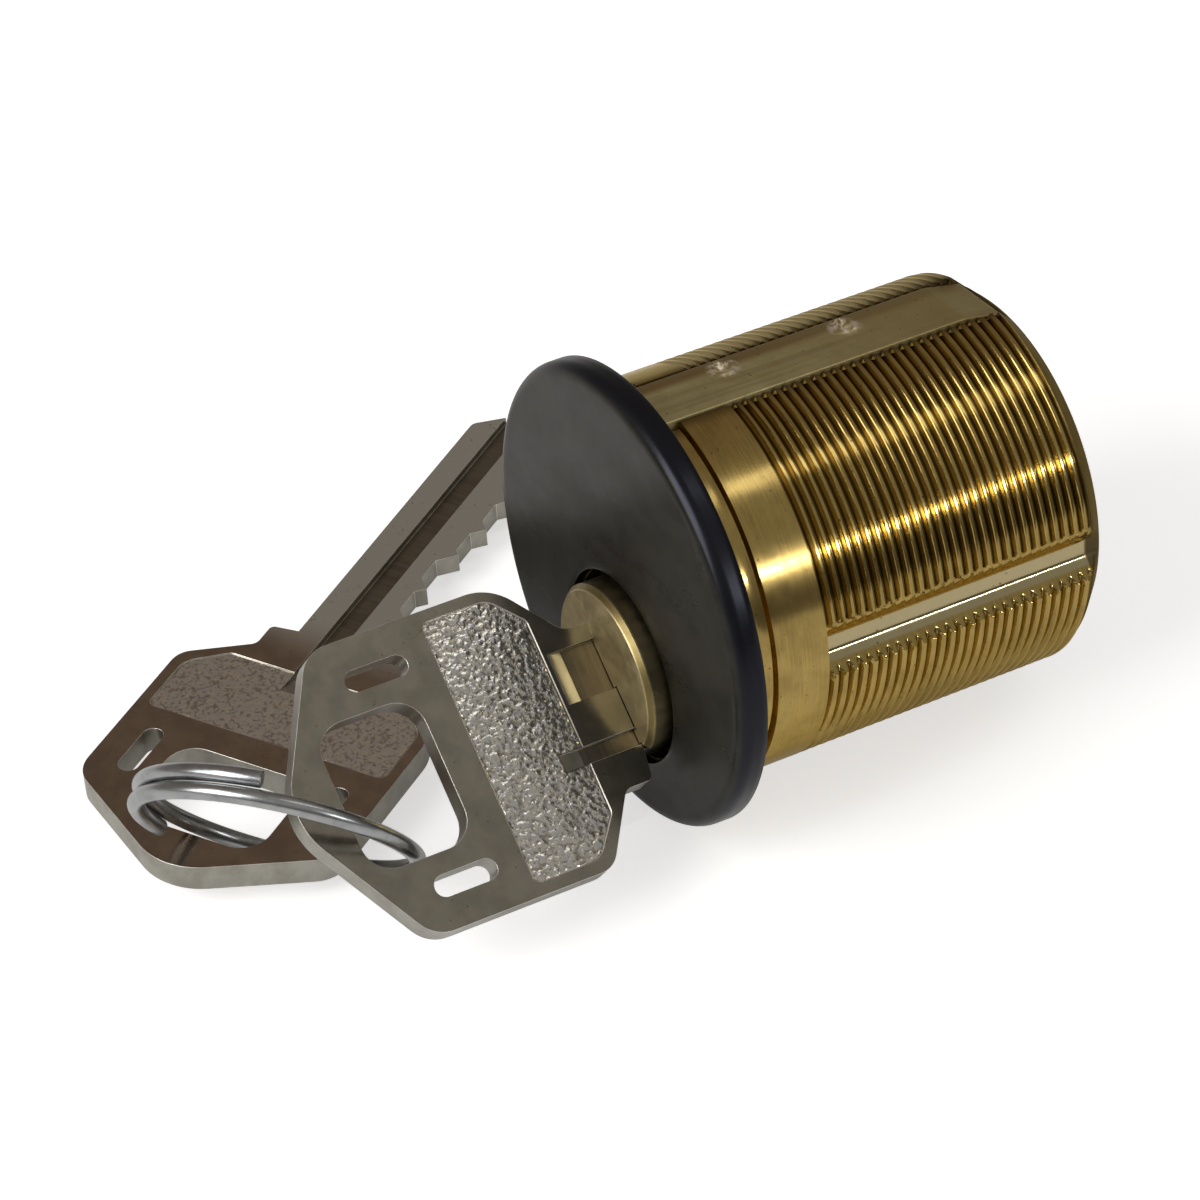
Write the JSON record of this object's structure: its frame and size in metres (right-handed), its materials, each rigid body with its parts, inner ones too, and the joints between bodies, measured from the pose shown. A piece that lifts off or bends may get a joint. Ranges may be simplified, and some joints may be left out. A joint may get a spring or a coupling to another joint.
{
  "type": "mortise cylinder",
  "caption": "Threaded round lock cylinder with a capped head, turning keyed plug, pins, springs and cam, one key in the plug and a second key joined to it by a wire ring.",
  "frame": {"origin": "on the cylinder's axis at the back face of its head", "axes": "+Y along the cylinder to the rear, into the lock; -Y out of the face; +Z through the row of pin chambers"},
  "size_m": [0.0576, 0.0703, 0.0357],
  "materials": {
    "shell_brass": "turned, tarnished",
    "dark_bronze": "dark bronze, semi-gloss",
    "cover_brass": "dull, tarnished",
    "plug_brass": "satin",
    "pin_brass": "turned",
    "spring_steel": "bright wire",
    "cam_steel": "plated",
    "screw_steel": "plated",
    "key_nickel": "nickel plated, worn",
    "ring_steel": "plated wire"
  },
  "bodies": {
    "shell": {"cylinder_body": "shell_brass", "head_cap": "dark_bronze", "chamber_cover": "cover_brass", "driver_spring_1": "spring_steel", "driver_spring_2": "spring_steel", "driver_spring_3": "spring_steel", "driver_spring_4": "spring_steel", "driver_spring_5": "spring_steel"},
    "plug": {"plug": "plug_brass", "key_pin_1": "pin_brass", "key_pin_2": "pin_brass", "key_pin_3": "pin_brass", "key_pin_4": "pin_brass", "key_pin_5": "pin_brass", "cam": "cam_steel", "cam_screw_1": "screw_steel", "cam_screw_2": "screw_steel", "key": "key_nickel"},
    "driver_1": {"driver_pin_1": "pin_brass"},
    "driver_2": {"driver_pin_2": "pin_brass"},
    "driver_3": {"driver_pin_3": "pin_brass"},
    "driver_4": {"driver_pin_4": "pin_brass"},
    "driver_5": {"driver_pin_5": "pin_brass"},
    "ring": {"key_ring": "ring_steel"},
    "spare": {"spare_key": "key_nickel"}
  },
  "joints": [
    {"name": "plug_turn", "type": "hinge", "parent": "shell", "child": "plug", "pos_m": [0, 0, -0.0057], "axis": [0, -1, 0], "continuous": true},
    {"name": "driver_1_lift", "type": "slide", "parent": "shell", "child": "driver_1", "axis": [0, 0, 1], "range_m": [0, 0.003], "stiffness_N_per_m": 60, "springref_m": -0.008, "deforming": ["driver_spring_1"]},
    {"name": "driver_2_lift", "type": "slide", "parent": "shell", "child": "driver_2", "axis": [0, 0, 1], "range_m": [0, 0.003], "stiffness_N_per_m": 60, "springref_m": -0.008, "deforming": ["driver_spring_2"]},
    {"name": "driver_3_lift", "type": "slide", "parent": "shell", "child": "driver_3", "axis": [0, 0, 1], "range_m": [0, 0.003], "stiffness_N_per_m": 60, "springref_m": -0.008, "deforming": ["driver_spring_3"]},
    {"name": "driver_4_lift", "type": "slide", "parent": "shell", "child": "driver_4", "axis": [0, 0, 1], "range_m": [0, 0.003], "stiffness_N_per_m": 60, "springref_m": -0.008, "deforming": ["driver_spring_4"]},
    {"name": "driver_5_lift", "type": "slide", "parent": "shell", "child": "driver_5", "axis": [0, 0, 1], "range_m": [0, 0.003], "stiffness_N_per_m": 60, "springref_m": -0.008, "deforming": ["driver_spring_5"]},
    {"name": "ring_swing", "type": "hinge", "parent": "plug", "child": "ring", "pos_m": [0.00496, -0.022, -0.01032], "axis": [0, 1, 0], "range_deg": [0, 25]},
    {"name": "spare_key_swing", "type": "hinge", "parent": "ring", "child": "spare", "pos_m": [-0.01109, -0.02922, -0.01571], "axis": [0.8408, 0.5369, -0.0691], "range_deg": [0, 25]}
  ]
}
